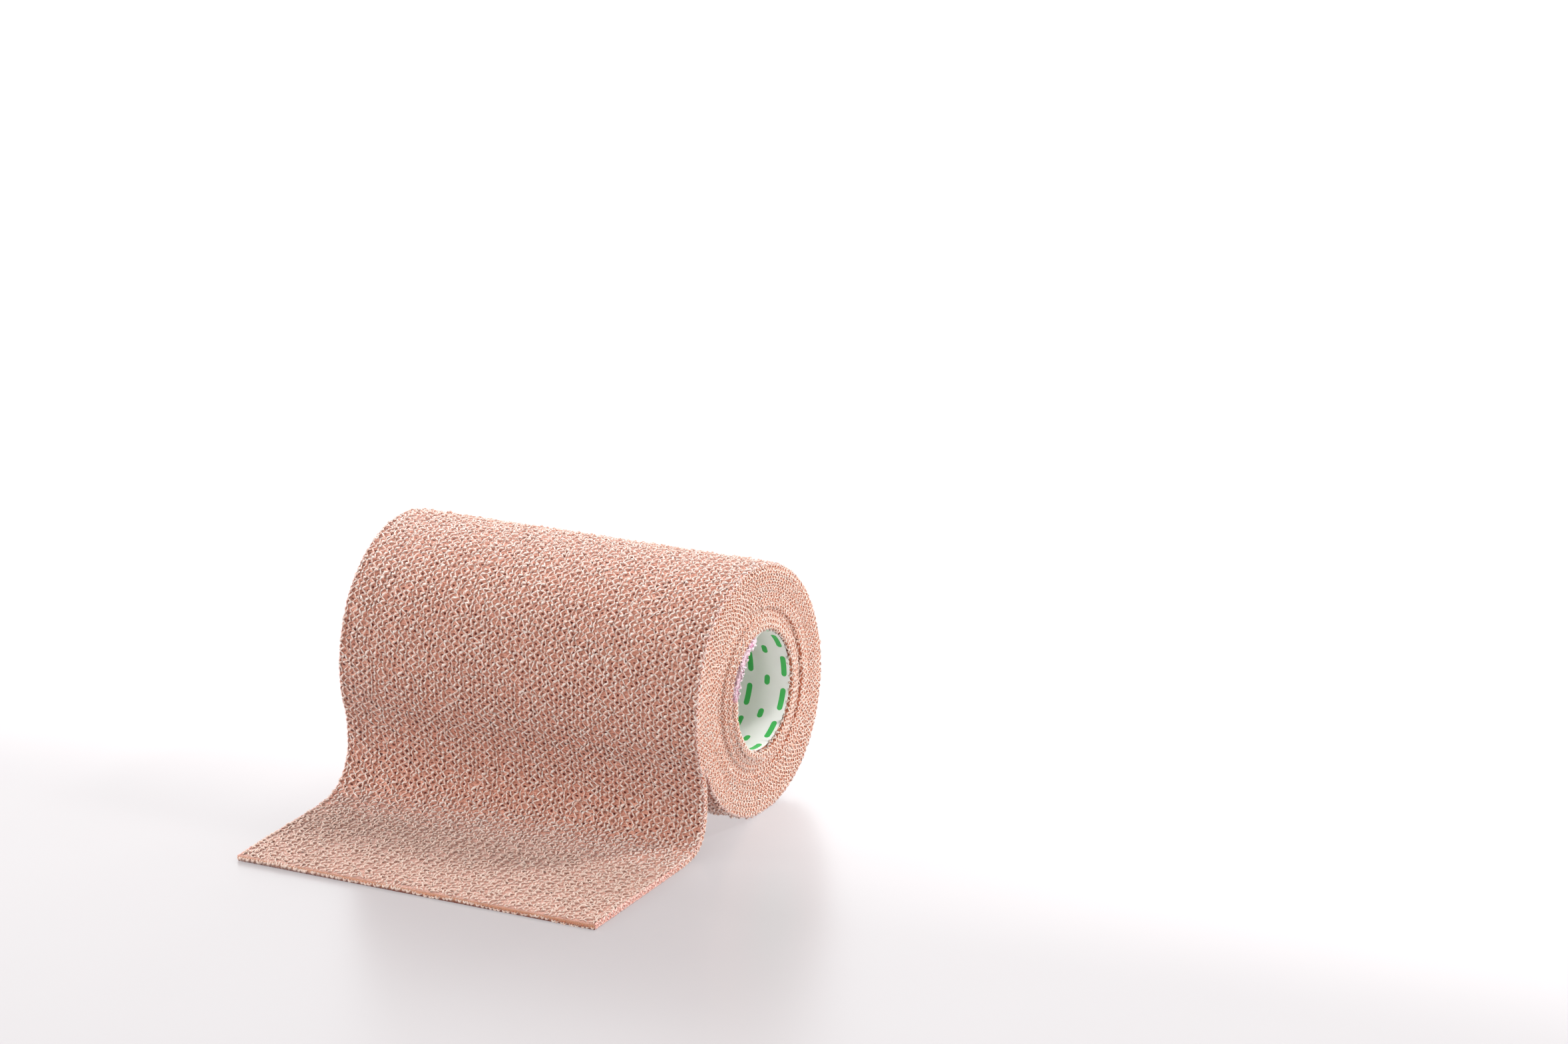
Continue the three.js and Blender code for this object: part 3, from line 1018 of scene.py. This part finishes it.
# The camera, by the photograph's perspective. Its place is in millimetres, its view in metres.
CAMERA_PLACE = (797.358, -1262.975, 596.376)
CAMERA_RIGHT = (0.87313854, 0.48602778, -0.03749778)
CAMERA_UP = (-0.130337, 0.30688456, 0.94278)
CAMERA_LENS = 152.8
SENSOR_WIDTH = 36.0
SEES_AS_FAR_AS = 20.0


def add_camera():
    data = bpy.data.cameras.new("camera")
    data.lens = CAMERA_LENS
    data.sensor_width = SENSOR_WIDTH
    data.clip_end = SEES_AS_FAR_AS
    camera = bpy.data.objects.new("camera", data)
    right = Vector(CAMERA_RIGHT).normalized()
    up = Vector(CAMERA_UP)
    up = (up - right * up.dot(right)).normalized()
    turned = Matrix((right, up, right.cross(up))).transposed()
    camera.matrix_world = Matrix.Translation(Vector(CAMERA_PLACE) * MM) @ turned.to_4x4()
    bpy.context.scene.collection.objects.link(camera)
    bpy.context.scene.camera = camera


# The floor: half its width in metres, and its glow, which grows towards the back between two Y
FLOOR_REACH = 6.0
FLOOR_CLOUD_SIZE = 40.0
GLOW_BETWEEN = (-60.0, 5.0)
GLOW_FROM_TO = (0.39, 0.56)


def add_stage():
    mesh = bpy.data.meshes.new("floor")
    corners = [(-1, -1), (1, -1), (1, 1), (-1, 1)]
    points = [(x * FLOOR_REACH, y * FLOOR_REACH, 0) for x, y in corners]
    mesh.from_pydata(points, [], [(0, 1, 2, 3)])
    floor = bpy.data.objects.new("floor", mesh)
    nodes = Nodes("floor_acrylic", roughness=0.28, specular=0.32)
    nodes.shader.inputs["Emission Color"].default_value = TABLE_GLOW
    glow = nodes.ramp(nodes.roll_place(1), *GLOW_BETWEEN, *GLOW_FROM_TO)
    nodes.put(nodes.shader.inputs["Emission Strength"], glow)
    nodes.colour(nodes.mix(nodes.noise(FLOOR_CLOUD_SIZE), ACRYLIC, ACRYLIC_PALE))
    mesh.materials.append(nodes.material)
    bpy.context.scene.collection.objects.link(floor)


# The lights: name, azimuth, elevation, distance, width and height, and power. Azimuth 0 is +X and
# 90 is +Y, and lengths are in metres. Only the backdrop shows in reflections, and it does no more.
BACKDROP = ("backdrop", 100, 20, 2.5, (5.0, 1.8), 65.0)
LIGHTS = (
    ("key", 39.4, 39.1, 1.6, (0.2, 0.2), 10.5),
    ("back", 90, 18, 2.0, (1.0, 1.0), 20.0),
    ("above", 95, 46, 2.0, (1.0, 1.0), 23.0),
    ("left", 185, 25, 2.0, (1.0, 1.0), 30.0),
    ("front_left", 235, 30, 2.0, (1.0, 1.0), 11.0),
    ("front_right", 320, 8, 2.0, (1.0, 1.0), 6.0),
    ("right", 5, 14, 2.0, (1.0, 1.0), 15.0),
)
LIGHTS_AIM_AT = (0, 0, 0.03)
STUDIO_WHITE = (1.0, 0.99, 0.985, 1.0)
STUDIO_STRENGTH = 0.4


def add_area_light(name, azimuth, elevation, distance, size, power):
    """A soft light that looks at the roll."""
    data = bpy.data.lights.new(name, "AREA")
    data.shape = "RECTANGLE"
    data.size, data.size_y = size
    data.energy = power
    light = bpy.data.objects.new(name, data)
    light.visible_camera = False
    turned, raised = math.radians(azimuth), math.radians(elevation)
    level = math.cos(raised)
    towards = Vector((level * math.cos(turned), level * math.sin(turned), math.sin(raised)))
    light.location = Vector(LIGHTS_AIM_AT) + towards * distance
    light.rotation_mode = "QUATERNION"
    light.rotation_quaternion = towards.to_track_quat("Z", "Y")
    bpy.context.scene.collection.objects.link(light)
    return light


def add_light():
    world = bpy.data.worlds.new("studio")
    world.use_nodes = True
    background = world.node_tree.nodes["Background"]
    background.inputs["Color"].default_value = STUDIO_WHITE
    background.inputs["Strength"].default_value = STUDIO_STRENGTH
    bpy.context.scene.world = world
    add_area_light(*BACKDROP).visible_diffuse = False
    for row in LIGHTS:
        add_area_light(*row).visible_glossy = False
    bpy.context.scene.view_settings.view_transform = "Standard"


def main():
    add_camera()
    strip = Strip()
    ground = ground_material(float(strip.along_at(LILAC_FROM)))
    cream = yarn_material("crepe_yarn", CREAM, CREAM_DARK, CREPE_SHEEN, BEIGE, BEIGE_DARK)
    peach = yarn_material("edge_yarn", PEACH, PEACH_DARK, EDGE_SHEEN, ROSE, ROSE_DARK)
    pink = yarn_material("selvage_yarn", PINK, PINK_DARK, SELVAGE_SHEEN, ROSE, ROSE_DARK)
    # Lilac yarns: painted purple bounce light on the strip's inner end
    lilac = yarn_material("inner_yarn", LILAC, LILAC_DARK, SELVAGE_SHEEN)
    orange = yarn_material("thread_end", EDGE_ORANGE, CUT_TERRACOTTA, EDGE_SHEEN)
    sheet = strip_piece(strip, ground)
    yarns = [*crepe_yarns(strip, cream), *cut_end(strip, cream, orange)]
    for side, end in ((1, "right"), (-1, "left")):
        yarns.append(edge_yarns(strip, side, f"edge_yarns_{end}", peach))
        yarns.append(selvage_loops(strip, side, f"selvage_loops_{end}", pink))
        for part, turns, rows, yarn in (
            ("inner_rows", (INNERMOST_FROM, BEFORE_INNER_END), (ROWS_EACH_SIDE - 1,), cream),
            ("inner_selvage", (INNERMOST_FROM, LILAC_FROM), (ROWS_EACH_SIDE,), cream),
            ("inner_end_rows", (LILAC_FROM, BEFORE_INNER_END), LILAC_ROWS, lilac),
            ("inner_side_rows", (INNER_SIDE_FROM, BEFORE_INNER_END), (UNDERSIDE_ROW,), cream),
            ("proud_turn_rows", PROUD_TURN, (UNDERSIDE_ROW,), peach),
        ):
            yarns.append(inner_rows(strip, side, turns, rows, f"{part}_{end}", yarn))
    film = liner_piece(film_material())
    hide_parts("bandage")
    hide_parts("core_liner")
    add_stage()
    add_light()


main()

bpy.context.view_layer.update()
